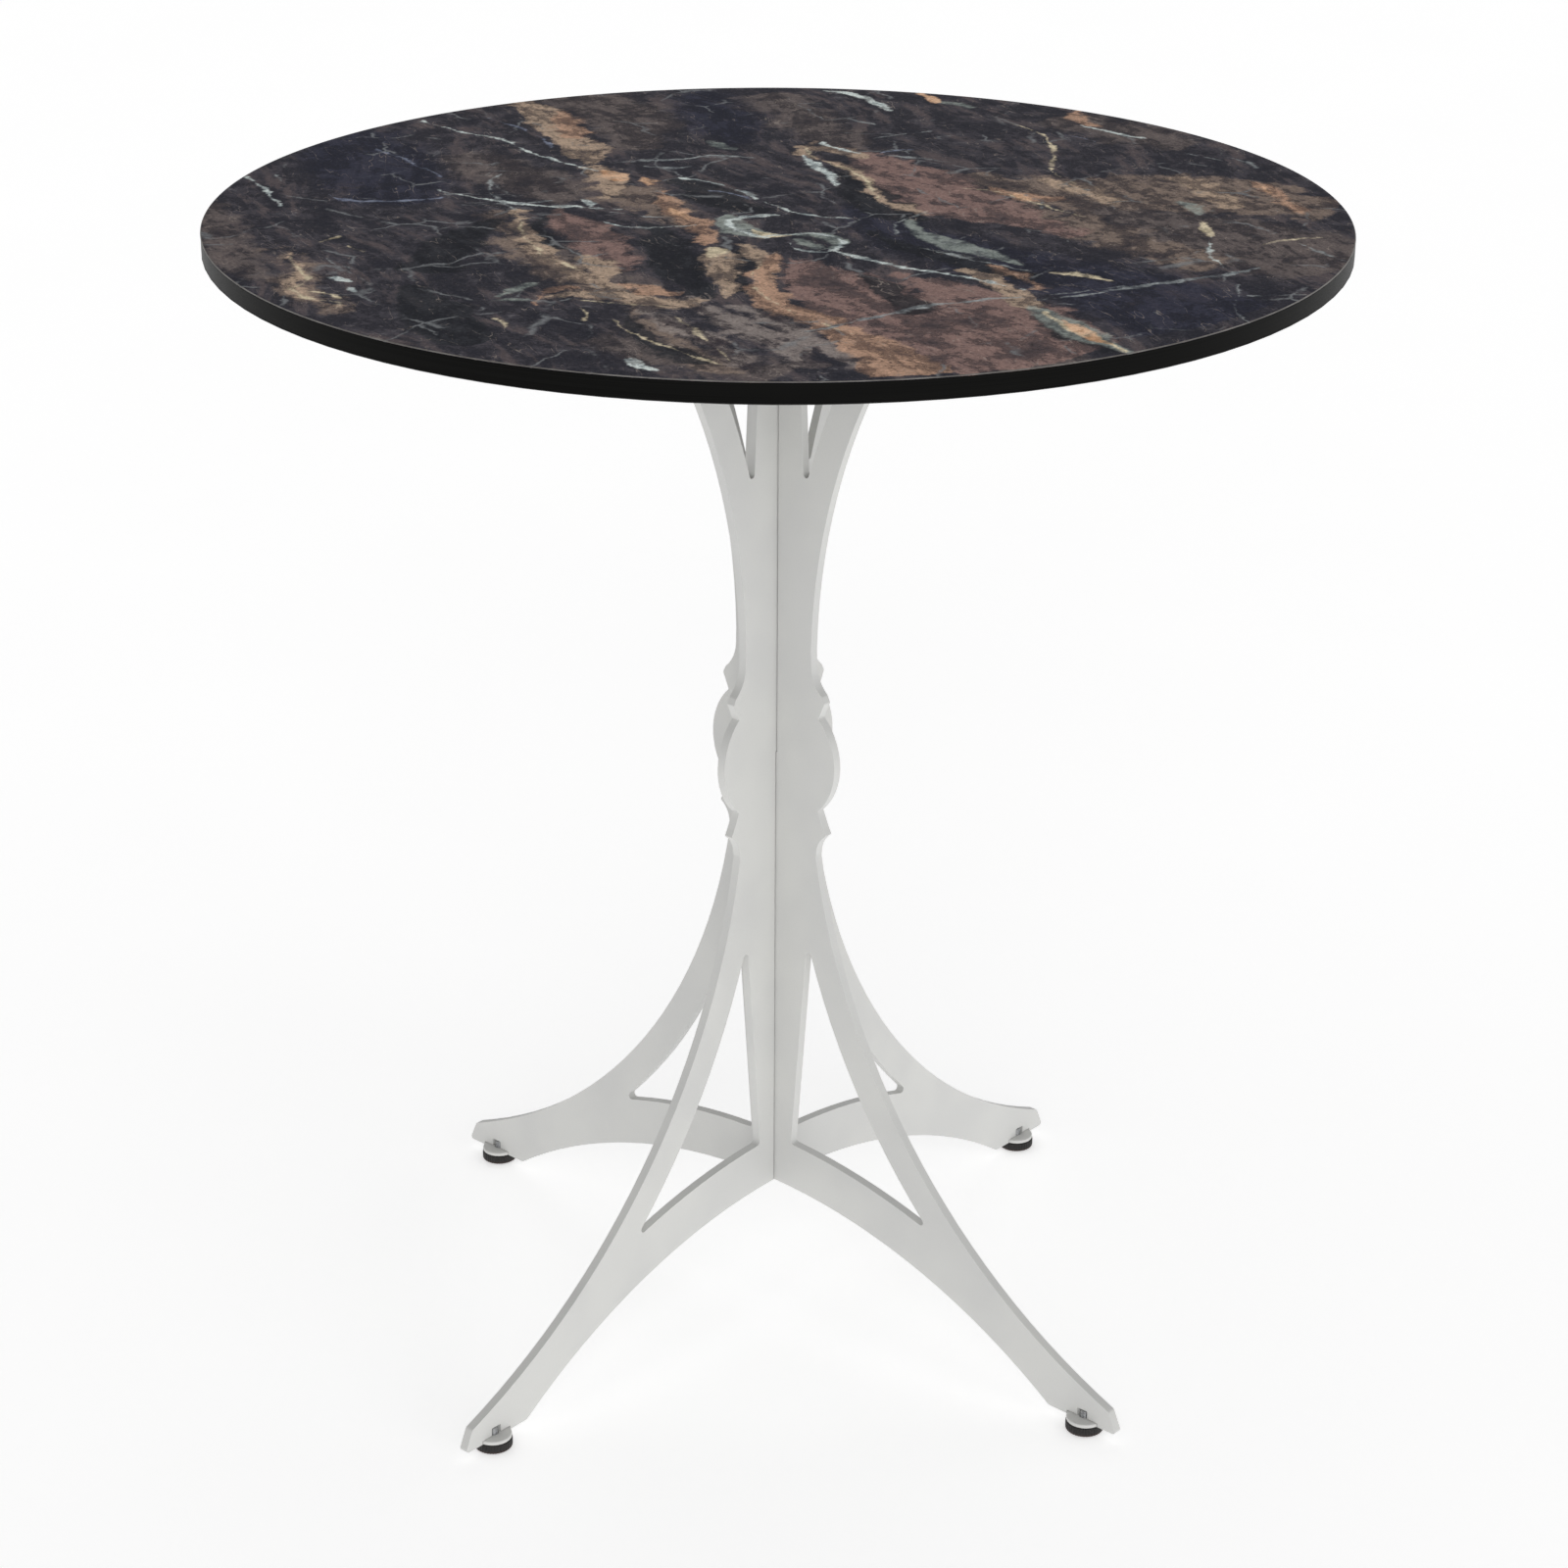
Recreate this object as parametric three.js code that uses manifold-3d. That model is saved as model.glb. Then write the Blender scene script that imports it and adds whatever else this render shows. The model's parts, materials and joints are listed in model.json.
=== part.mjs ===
// Bistro table. A round compact-laminate top stands on a pedestal of two flat steel plates that
// are pushed into each other at right angles, on four screw-in levelling feet.
// Millimetres, +Z up. The origin is on the floor under the middle of the top, the legs lie along
// +X, -Y, -X and +Y, and the feet are screwed fully home.
import * as THREE from "three";
import { mergeVertices } from "three/addons/utils/BufferGeometryUtils.js";
import Module from "manifold-3d";

const wasm = await Module();
wasm.setup();

// ---- Driving dimensions --------------------------------------------------------------------

const CLEARANCE = 0.3; // between pieces that rest on each other

// Table top
const TABLE_HEIGHT = 755;
const TOP_RADIUS = 350;
const TOP_THICKNESS = 13;
const SHEET_THICKNESS = 0.7; // décor sheet and balancing sheet
const ARRIS = 0.5; // small chamfer round the edge
const TOP_SEGMENTS = 96;

// Pedestal plates. Distances are measured outwards from the table's axis.
const PLATE_THICKNESS = 6;
const SLOT_PLAY = 0.7; // each side of the plate that sits in the slot
const BAND_WIDTH = 21; // width of a leg or an arm measured across it
const LEG_CURVE = { x: 442, z: 403.3, radius: 410 };
const ARM_CURVE = { x: 445, z: 470, radius: 413 };
const ARCH_CURVE = { x: 0, z: -333, radius: 418 };
const TIE_WIDTH = 33; // height of the tie between the two legs, above the arch
const TOP_TIE_WIDTH = 20; // height of the tie between the two arms
const STEM_LOWER = { topX: 30.1, topZ: 267, bottomX: 17.9, bottomZ: 120 };
const STEM_UPPER = { bottomX: 24.3, bottomZ: 594, topX: 18.3, topZ: 717 };
const CUT_CORNER = 2.4; // corner radius of the cut-outs
const SOLE_HEIGHT = 7.5; // bottom edge of a leg above the floor
const TOE = { tipX: 297, heelX: 290.3, heelZ: 22.3 };

// Ornament in the middle of the stem: a ball between two collars
const BALL = { x: 8.3, z: 400.7, radius: 44.4 };
const NOTCH_REACH = 32.3; // from the middle of the ball to a notch
const COLLAR_REACH = 43.3; // from the middle of the ball to the widest point of a collar
const COLLAR_X = 43.6;
const COLLAR_FACE = 4.4; // height of the collar's nearly upright rim
const UPPER_COVE = { x: 57.9, z: 468, radius: 25.6 };
const LOWER_COVE = { x: 55.9, z: 338, radius: 18 };

// Fixing of the top
const TAB = { x: 116, length: 64, width: 24, thickness: 4, holeOffset: 22 };
const SCREW_RADIUS = 3;
const SCREW_HEAD = { radius: 5.6, height: 3.2 };
const SOCKET = { acrossFlats: 4, depth: 2 };
const INSERT = { radius: 5, length: 8.2 };

// Levelling feet
const FOOT_X = 269.5;
const WINDOW = { halfWidth: 4, top: 15.5 };
const LUG = { radius: 12, bottom: 7.3, top: 9.8, chamfer: 0.5 };
const STUD = { radius: 3, bottom: 2.6, top: 14, chamfer: 0.6 };
const KNOB = { radius: 12.4, bottom: 0.8, top: 7, ribs: 30, ribDepth: 0.5 };
const PAD = { radius: 10, thickness: 2 };

// Heights that follow from the driving dimensions
const TOP_UNDERSIDE = TABLE_HEIGHT - TOP_THICKNESS;
const TAB_TOP = TOP_UNDERSIDE - CLEARANCE;
const TAB_BOTTOM = TAB_TOP - TAB.thickness;
const PLATE_TOP = TAB_BOTTOM - CLEARANCE;
const HALF_SLOT = PLATE_THICKNESS / 2 + SLOT_PLAY;

// The four legs, named as seen from the front corner, with the direction that each points in
const LEGS = [
  { name: "front_right", turn: 0 },
  { name: "back_right", turn: Math.PI / 2 },
  { name: "back_left", turn: Math.PI },
  { name: "front_left", turn: -Math.PI / 2 },
];

// ---- Materials -----------------------------------------------------------------------------

const finish = (color, roughness, metalness) => ({ color, roughness, metalness });
const POWDER_COAT = finish(0xc8cac6, 0.5, 0.1);
const BLACK_CORE = finish(0x161615, 0.5, 0);
const DARK_MARBLE = finish(0x3a3436, 0.4, 0);
const ZINC = finish(0xaeb1b3, 0.35, 0.9);
const BRASS = finish(0xb08d4f, 0.4, 0.9);
const BLACK_NYLON = finish(0x1b1a19, 0.45, 0);
const RUBBER = finish(0x232323, 0.9, 0);

// ---- Scene graph ---------------------------------------------------------------------------

const table = new THREE.Group();
table.name = "bistro_table";

function addMesh(parent, name, geometry, look) {
  const mesh = new THREE.Mesh(geometry, new THREE.MeshStandardMaterial(look));
  mesh.name = name;
  parent.add(mesh);
  return mesh;
}

// ---- Geometry helpers ----------------------------------------------------------------------

const point = (x, z) => new THREE.Vector2(x, z);

// A closed THREE geometry as a solid that can be cut.
function solid(geometry) {
  const bare = geometry.clone().deleteAttribute("normal").deleteAttribute("uv");
  const merged = mergeVertices(bare, 1e-4);
  return new wasm.Manifold(
    new wasm.Mesh({
      numProp: 3,
      vertProperties: merged.attributes.position.array,
      triVerts: new Uint32Array(merged.index.array),
    }),
  );
}

// The body with the tools cut out of it, as a geometry again.
function cut(body, ...tools) {
  const result = tools.reduce((left, tool) => left.subtract(solid(tool)), solid(body));
  const mesh = result.getMesh();
  const geometry = new THREE.BufferGeometry();
  geometry.setAttribute("position", new THREE.BufferAttribute(mesh.vertProperties, 3));
  geometry.setIndex(new THREE.BufferAttribute(mesh.triVerts, 1));
  geometry.computeVertexNormals();
  return geometry;
}

// A solid of revolution about Z from [radius, height] pairs that run up the outside.
function turned(profile, segments = 24) {
  const outline = profile.map(([radius, height]) => point(radius, height));
  return new THREE.LatheGeometry(outline, segments).rotateX(Math.PI / 2);
}

// An upright cylinder, or a prism with few segments, between two heights.
function upright(radius, bottom, top, segments = 24) {
  const shape = new THREE.CylinderGeometry(radius, radius, top - bottom, segments);
  return shape.rotateX(Math.PI / 2).translate(0, 0, (bottom + top) / 2);
}

// Points along a circle from one point to another, the short way round, both ends included.
function arc(circle, from, to, longestStep = 16) {
  const start = Math.atan2(from.y - circle.z, from.x - circle.x);
  let sweep = Math.atan2(to.y - circle.z, to.x - circle.x) - start;
  sweep -= 2 * Math.PI * Math.round(sweep / (2 * Math.PI));
  const steps = Math.max(3, Math.ceil((Math.abs(sweep) * circle.radius) / longestStep));
  return Array.from({ length: steps + 1 }, (_, i) => {
    const angle = start + (sweep * i) / steps;
    return point(
      circle.x + circle.radius * Math.cos(angle),
      circle.z + circle.radius * Math.sin(angle),
    );
  });
}

// The point of a circle's left or right half at a height.
function onCircle(circle, z, side) {
  const reach = Math.sqrt(circle.radius ** 2 - (z - circle.z) ** 2);
  return point(circle.x + side * reach, z);
}

// An outline with the corner at each marked point rounded off. Each entry is a point or
// { corner, radius }.
function softened(entries) {
  const corners = entries.map((entry) => entry.corner ?? entry);
  return entries.flatMap((entry, i) => {
    if (!entry.radius) return [entry];
    const here = entry.corner;
    const before = corners.at(i - 1).clone().sub(here).normalize();
    const after = corners[(i + 1) % corners.length].clone().sub(here).normalize();
    const half = Math.acos(THREE.MathUtils.clamp(before.dot(after), -1, 1)) / 2;
    const middle = before.clone().add(after).normalize();
    const centre = here.clone().addScaledVector(middle, entry.radius / Math.sin(half));
    const back = entry.radius / Math.tan(half);
    return arc(
      { x: centre.x, z: centre.y, radius: entry.radius },
      here.clone().addScaledVector(before, back),
      here.clone().addScaledVector(after, back),
      1.2,
    );
  });
}

// ---- Cut-outs with rounded corners ---------------------------------------------------------

// An edge of a cut-out is a circle that the opening lies outside of, or a straight line with the
// opening on its left.
const straight = (from, to) => {
  const along = to.clone().sub(from).normalize();
  return { from, along, inward: point(-along.y, along.x) };
};

// Where a straight line crosses a circle.
function lineMeetsCircle(line, circle) {
  const middle = point(circle.x, circle.z).sub(line.from);
  const foot = middle.dot(line.along);
  const reach = Math.sqrt(circle.radius ** 2 - (middle.lengthSq() - foot ** 2));
  return [foot - reach, foot + reach].map((distance) =>
    line.from.clone().addScaledVector(line.along, distance),
  );
}

// Where two circles cross: on the straight line through both crossings.
function circlesMeet(a, b) {
  const span = point(b.x - a.x, b.z - a.z);
  const distance = span.length();
  const reach = (a.radius ** 2 - b.radius ** 2 + distance ** 2) / (2 * distance);
  const from = point(a.x, a.z).addScaledVector(span, reach / distance);
  const along = point(-span.y, span.x).normalize();
  return lineMeetsCircle({ from, along }, a);
}

// Where two straight lines cross.
function linesMeet(a, b) {
  const gap = b.from.clone().sub(a.from);
  const distance = gap.cross(b.along) / a.along.cross(b.along);
  return [a.from.clone().addScaledVector(a.along, distance)];
}

// The centre of the corner circle that touches two edges, near a given point.
function cornerCentre(a, b, near) {
  const [first, second] = [a, b].map((edge) =>
    edge.along
      ? { ...edge, from: edge.from.clone().addScaledVector(edge.inward, CUT_CORNER) }
      : { ...edge, radius: edge.radius + CUT_CORNER },
  );
  let found;
  if (first.along && second.along) found = linesMeet(first, second);
  else if (first.along) found = lineMeetsCircle(first, second);
  else if (second.along) found = lineMeetsCircle(second, first);
  else found = circlesMeet(first, second);
  return found.sort((p, q) => p.distanceTo(near) - q.distanceTo(near))[0];
}

// Where a corner circle touches an edge.
function touchPoint(edge, centre) {
  if (edge.along) return centre.clone().addScaledVector(edge.inward, -CUT_CORNER);
  const middle = point(edge.x, edge.z);
  const outward = centre.clone().sub(middle).normalize();
  return middle.addScaledVector(outward, edge.radius);
}

// The outline of a cut-out from its edges in turn; near[i] lies by the corner after edge i.
function cutOut(edges, near) {
  const next = (i) => (i + 1) % edges.length;
  const centres = edges.map((edge, i) => cornerCentre(edge, edges[next(i)], near[i]));
  return edges.flatMap((edge, i) => {
    const start = touchPoint(edge, centres.at(i - 1));
    const end = touchPoint(edge, centres[i]);
    const side = edge.along ? [start, end] : arc(edge, start, end);
    const corner = { x: centres[i].x, z: centres[i].y, radius: CUT_CORNER };
    return [...side.slice(0, -1), ...arc(corner, end, touchPoint(edges[next(i)], centres[i]), 1.2)];
  });
}

const mirrored = (outline) => outline.map((p) => point(-p.x, p.y)).reverse();

// ---- Pedestal plates -----------------------------------------------------------------------

// Bottom edge of one foot, from the arch out to the toe: a shallow notch for the lug, and the
// window above it where the stud's end stands.
function soleEdge() {
  const notch = LUG.radius + CLEARANCE;
  const notchTop = LUG.top + CLEARANCE;
  const sides = [-1, 1].map((side) => [
    point(FOOT_X + side * notch, SOLE_HEIGHT),
    point(FOOT_X + side * notch, notchTop),
    point(FOOT_X + side * WINDOW.halfWidth, notchTop),
    { corner: point(FOOT_X + side * WINDOW.halfWidth, WINDOW.top), radius: 0.8 },
  ]);
  return [...sides[0], ...sides[1].reverse()];
}

// Outer edge of the ornament from the leg up to the arm.
function ornamentEdge() {
  const lowerRim = BALL.z - COLLAR_REACH;
  const upperRim = BALL.z + COLLAR_REACH;
  const lowerNotch = onCircle(BALL, BALL.z - NOTCH_REACH, 1);
  const upperNotch = onCircle(BALL, BALL.z + NOTCH_REACH, 1);
  const lowerCoveTop = onCircle(LOWER_COVE, lowerRim - COLLAR_FACE, -1);
  const upperCoveBottom = onCircle(UPPER_COVE, upperRim + COLLAR_FACE, -1);
  return [
    ...arc(LOWER_COVE, onCircle(LOWER_COVE, LOWER_COVE.z, -1), lowerCoveTop, 4).slice(0, -1),
    { corner: lowerCoveTop, radius: 0.9 },
    { corner: point(COLLAR_X, lowerRim), radius: 1.4 },
    ...arc(BALL, lowerNotch, upperNotch, 5),
    { corner: point(COLLAR_X, upperRim), radius: 1.4 },
    { corner: upperCoveBottom, radius: 0.9 },
    ...arc(UPPER_COVE, upperCoveBottom, onCircle(UPPER_COVE, UPPER_COVE.z, -1), 4).slice(1),
  ];
}

// Half of the plate's outline, right of the axis, from the arch up to the top edge.
function halfOutline(startX, endX) {
  const archStart = point(startX, ARCH_CURVE.z + Math.sqrt(ARCH_CURVE.radius ** 2 - startX ** 2));
  const archEnd = point(
    Math.sqrt(ARCH_CURVE.radius ** 2 - (SOLE_HEIGHT - ARCH_CURVE.z) ** 2),
    SOLE_HEIGHT,
  );
  const legTop = onCircle(LEG_CURVE, LOWER_COVE.z - 2, -1);
  const armBottom = onCircle(ARM_CURVE, ARM_CURVE.z + 8, -1);
  const armTop = onCircle(ARM_CURVE, PLATE_TOP, -1);
  return softened([
    ...arc(ARCH_CURVE, archStart, archEnd).slice(0, -1),
    { corner: archEnd, radius: 6 },
    ...soleEdge(),
    { corner: point(TOE.tipX, SOLE_HEIGHT), radius: 2 },
    { corner: point(TOE.heelX, TOE.heelZ), radius: 3 },
    ...arc(LEG_CURVE, point(TOE.heelX, TOE.heelZ), legTop).slice(1),
    ...ornamentEdge(),
    ...arc(ARM_CURVE, armBottom, armTop).slice(0, -1),
    { corner: armTop, radius: 3 },
    point(endX, PLATE_TOP),
  ]);
}

// Triangular cut-out between the stem, the leg and the tie above the arch.
function legCutOut() {
  const leg = { ...LEG_CURVE, radius: LEG_CURVE.radius + BAND_WIDTH };
  const tie = { ...ARCH_CURVE, radius: ARCH_CURVE.radius + TIE_WIDTH };
  const stemTop = point(STEM_LOWER.topX, STEM_LOWER.topZ);
  const stemBottom = point(STEM_LOWER.bottomX, STEM_LOWER.bottomZ);
  const outerCorner = point(TOE.heelX / 2, TIE_WIDTH * 3);
  return cutOut([straight(stemTop, stemBottom), tie, leg], [stemBottom, outerCorner, stemTop]);
}

// Tall V-shaped cut-out between the stem and the arm, closed by the tie under the top.
function armCutOut() {
  const arm = { ...ARM_CURVE, radius: ARM_CURVE.radius + BAND_WIDTH };
  const tieBottom = PLATE_TOP - TOP_TIE_WIDTH;
  const stemTop = point(STEM_UPPER.topX, STEM_UPPER.topZ);
  const stemBottom = point(STEM_UPPER.bottomX, STEM_UPPER.bottomZ);
  const tieEnd = onCircle(arm, tieBottom, -1);
  const tie = straight(tieEnd, point(0, tieBottom));
  return cutOut([straight(stemTop, stemBottom), arm, tie], [stemBottom, tieEnd, stemTop]);
}

// A whole plate in the XZ plane, centred on it, with its half-slot open above or below.
function legPlate(slottedAbove) {
  const slotEnd = BALL.z + (slottedAbove ? -CLEARANCE / 2 : CLEARANCE / 2);
  const right = slottedAbove ? halfOutline(0, HALF_SLOT) : halfOutline(HALF_SLOT, 0);
  const slot = point(HALF_SLOT, slotEnd);
  const half = slottedAbove ? [...right.slice(1), slot] : [slot, ...right.slice(0, -1)];
  const left = mirrored(half);
  const middle = slottedAbove ? [right[0]] : [right.at(-1)];
  const outline = slottedAbove ? [...middle, ...half, ...left] : [...half, ...middle, ...left];
  const shape = new THREE.Shape(outline);
  for (const hole of [legCutOut(), armCutOut()]) {
    shape.holes.push(new THREE.Path(hole), new THREE.Path(mirrored(hole)));
  }
  const plate = new THREE.ExtrudeGeometry(shape, { depth: PLATE_THICKNESS, bevelEnabled: false });
  return plate.translate(0, 0, -PLATE_THICKNESS / 2).rotateX(Math.PI / 2);
}

addMesh(table, "leg_plate_slotted_above", legPlate(true), POWDER_COAT);
addMesh(table, "leg_plate_slotted_below", legPlate(false), POWDER_COAT).rotation.z = Math.PI / 2;

// ---- Table top -----------------------------------------------------------------------------

// Where the eight screws stand, two for each tab.
const screwPlaces = LEGS.flatMap(({ name, turn }) =>
  [-1, 1].map((side, i) => ({
    name: `${name}_${i + 1}`,
    at: new THREE.Vector3(TAB.x, side * TAB.holeOffset, 0).applyAxisAngle(
      new THREE.Vector3(0, 0, 1),
      turn,
    ),
  })),
);
const atScrews = (make) => screwPlaces.map(({ at }) => make().translate(at.x, at.y, 0));

// A round layer of the top, with a chamfer round its lower or upper rim.
function layer(bottom, top, lowerArris, upperArris) {
  return turned(
    [
      [0, bottom],
      [TOP_RADIUS - lowerArris, bottom],
      ...(lowerArris ? [[TOP_RADIUS, bottom + lowerArris]] : []),
      ...(upperArris ? [[TOP_RADIUS, top - upperArris]] : []),
      [TOP_RADIUS - upperArris, top],
      [0, top],
    ],
    TOP_SEGMENTS,
  );
}

function tableTop() {
  const coreBottom = TOP_UNDERSIDE + SHEET_THICKNESS + CLEARANCE;
  const coreTop = TABLE_HEIGHT - SHEET_THICKNESS - CLEARANCE;
  const holeRadius = INSERT.radius + CLEARANCE;
  const holeTop = TOP_UNDERSIDE + INSERT.length + 2 * CLEARANCE;
  const holes = atScrews(() => upright(holeRadius, TOP_UNDERSIDE - 1, holeTop, 16));
  const core = cut(layer(coreBottom, coreTop, 0, 0), ...holes);
  const sheetTop = TOP_UNDERSIDE + SHEET_THICKNESS;
  const backing = cut(layer(TOP_UNDERSIDE, sheetTop, ARRIS, 0), ...holes);
  const decor = layer(TABLE_HEIGHT - SHEET_THICKNESS, TABLE_HEIGHT, 0, ARRIS);
  addMesh(table, "tabletop_core", core, BLACK_CORE);
  addMesh(table, "tabletop_decor_sheet", decor, DARK_MARBLE);
  addMesh(table, "tabletop_backing_sheet", backing, BLACK_CORE);
}
tableTop();

// ---- Fixing of the top ---------------------------------------------------------------------

// A flat bar with round ends that lies across the end of an arm, with a hole each side.
function mountTab() {
  const end = TAB.width / 2;
  const straightHalf = TAB.length / 2 - end;
  const shape = new THREE.Shape();
  shape.absarc(0, straightHalf, end, 0, Math.PI);
  shape.absarc(0, -straightHalf, end, Math.PI, 2 * Math.PI);
  for (const side of [-1, 1]) {
    const hole = new THREE.Path();
    hole.absarc(0, side * TAB.holeOffset, SCREW_RADIUS + CLEARANCE, 0, 2 * Math.PI, true);
    shape.holes.push(hole);
  }
  const settings = { depth: TAB.thickness, bevelEnabled: false, curveSegments: 8 };
  return new THREE.ExtrudeGeometry(shape, settings).translate(TAB.x, 0, TAB_BOTTOM);
}

// A button-head screw that stands head down at the origin.
function topScrew() {
  const headTop = TAB_BOTTOM - CLEARANCE;
  const headBottom = headTop - SCREW_HEAD.height;
  const tip = TOP_UNDERSIDE + INSERT.length;
  const body = turned(
    [
      [0, headBottom],
      [SCREW_HEAD.radius * 0.6, headBottom],
      [SCREW_HEAD.radius * 0.88, headBottom + SCREW_HEAD.height * 0.35],
      [SCREW_HEAD.radius, headTop - 0.5],
      [SCREW_HEAD.radius, headTop],
      [SCREW_RADIUS, headTop],
      [SCREW_RADIUS, tip - 0.6],
      [SCREW_RADIUS - 0.6, tip],
      [0, tip],
    ],
    16,
  );
  const socketRadius = SOCKET.acrossFlats / Math.sqrt(3);
  return cut(body, upright(socketRadius, headBottom - 1, headBottom + SOCKET.depth, 6));
}

// A sleeve with an internal thread, sunk in the core.
function threadedInsert() {
  const bottom = TOP_UNDERSIDE + CLEARANCE;
  const top = bottom + INSERT.length;
  const bore = SCREW_RADIUS + CLEARANCE;
  return turned(
    [
      [bore, bottom],
      [INSERT.radius, bottom],
      [INSERT.radius, top - 0.8],
      [INSERT.radius - 0.8, top],
      [bore, top],
      [bore, bottom],
    ],
    16,
  );
}

for (const { name, turn } of LEGS) {
  addMesh(table, `mount_tab_${name}`, mountTab(), POWDER_COAT).rotation.z = turn;
}
for (const { name, at } of screwPlaces) {
  addMesh(table, `top_screw_${name}`, topScrew(), ZINC).position.copy(at);
  addMesh(table, `threaded_insert_${name}`, threadedInsert(), BRASS).position.copy(at);
}

// ---- Levelling feet ------------------------------------------------------------------------

// A threaded disc that is welded into the notch of the sole.
function footLug() {
  const bore = STUD.radius + CLEARANCE;
  return turned([
    [bore, LUG.bottom],
    [LUG.radius, LUG.bottom],
    [LUG.radius, LUG.top - LUG.chamfer],
    [LUG.radius - LUG.chamfer, LUG.top],
    [bore, LUG.top],
    [bore, LUG.bottom],
  ]);
}

function footStud() {
  return turned(
    [
      [0, STUD.bottom],
      [STUD.radius, STUD.bottom],
      [STUD.radius, STUD.top - STUD.chamfer],
      [STUD.radius - STUD.chamfer, STUD.top],
      [0, STUD.top],
    ],
    20,
  );
}

// A ribbed disc with a bore for the stud and a recess for the pad.
function footKnob() {
  const steps = KNOB.ribs * 4;
  const rim = Array.from({ length: steps }, (_, i) => {
    const angle = (2 * Math.PI * i) / steps;
    const radius = KNOB.radius - (i % 4 < 2 ? 0 : KNOB.ribDepth);
    return point(radius * Math.cos(angle), radius * Math.sin(angle));
  });
  const settings = { depth: KNOB.top - KNOB.bottom, bevelEnabled: false };
  const body = new THREE.ExtrudeGeometry(new THREE.Shape(rim), settings);
  body.translate(0, 0, KNOB.bottom);
  const recessTop = PAD.thickness + CLEARANCE;
  return cut(
    body,
    upright(STUD.radius + CLEARANCE, KNOB.bottom - 1, KNOB.top + 1, 20),
    upright(PAD.radius + CLEARANCE, KNOB.bottom - 1, recessTop),
  );
}

function footPad() {
  return turned([
    [0, 0],
    [PAD.radius - 0.4, 0],
    [PAD.radius, 0.4],
    [PAD.radius, PAD.thickness],
    [0, PAD.thickness],
  ]);
}

for (const { name, turn } of LEGS) {
  const foot = new THREE.Group();
  foot.position.set(FOOT_X * Math.cos(turn), FOOT_X * Math.sin(turn), 0);
  addMesh(foot, `foot_lug_${name}`, footLug(), POWDER_COAT);
  addMesh(foot, `foot_stud_${name}`, footStud(), ZINC);
  addMesh(foot, `foot_knob_${name}`, footKnob(), BLACK_NYLON);
  addMesh(foot, `foot_pad_${name}`, footPad(), RUBBER);
  table.add(foot);
}

export default table;
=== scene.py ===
"""Bistro table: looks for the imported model.

The top is a compact laminate with a dark marble décor, on a pedestal of two off-white
powder-coated plates with four levelling feet. Metres, +Z up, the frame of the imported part.
"""

import json
import math

import bmesh
import bpy
from mathutils import Matrix, Vector


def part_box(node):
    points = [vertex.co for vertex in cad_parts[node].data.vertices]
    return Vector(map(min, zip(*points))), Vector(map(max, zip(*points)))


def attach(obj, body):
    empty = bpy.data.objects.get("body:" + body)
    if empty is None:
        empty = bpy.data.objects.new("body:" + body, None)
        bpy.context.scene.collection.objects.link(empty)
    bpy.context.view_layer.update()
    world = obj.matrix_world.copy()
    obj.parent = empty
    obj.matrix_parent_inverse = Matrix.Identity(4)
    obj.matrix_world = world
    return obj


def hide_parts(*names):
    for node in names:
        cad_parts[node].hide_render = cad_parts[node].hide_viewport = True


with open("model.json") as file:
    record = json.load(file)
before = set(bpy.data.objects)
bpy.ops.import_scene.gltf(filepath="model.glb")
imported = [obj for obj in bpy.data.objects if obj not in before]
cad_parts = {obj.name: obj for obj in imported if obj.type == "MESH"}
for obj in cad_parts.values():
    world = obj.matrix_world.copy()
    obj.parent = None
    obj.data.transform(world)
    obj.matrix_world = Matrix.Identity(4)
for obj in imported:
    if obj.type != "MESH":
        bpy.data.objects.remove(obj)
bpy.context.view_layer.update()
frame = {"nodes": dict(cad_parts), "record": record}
nodes = frame["nodes"]
MM = 0.001
LEGS = ("front_right", "back_right", "back_left", "front_left")

# The front right leg points along +X. The camera sees it turned this far towards itself from
# straight right.
LEG_TURN = math.radians(41.6)
CAMERA_SIDE = -math.pi / 2 + LEG_TURN


def srgb(red, green, blue):
    """A colour given as 8-bit display values, as the linear values that shaders use."""

    def linear(value):
        value /= 255
        return value / 12.92 if value <= 0.04045 else ((value + 0.055) / 1.055) ** 2.4

    return (linear(red), linear(green), linear(blue), 1.0)


# ---- Material graphs ---------------------------------------------------------------------------


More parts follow.
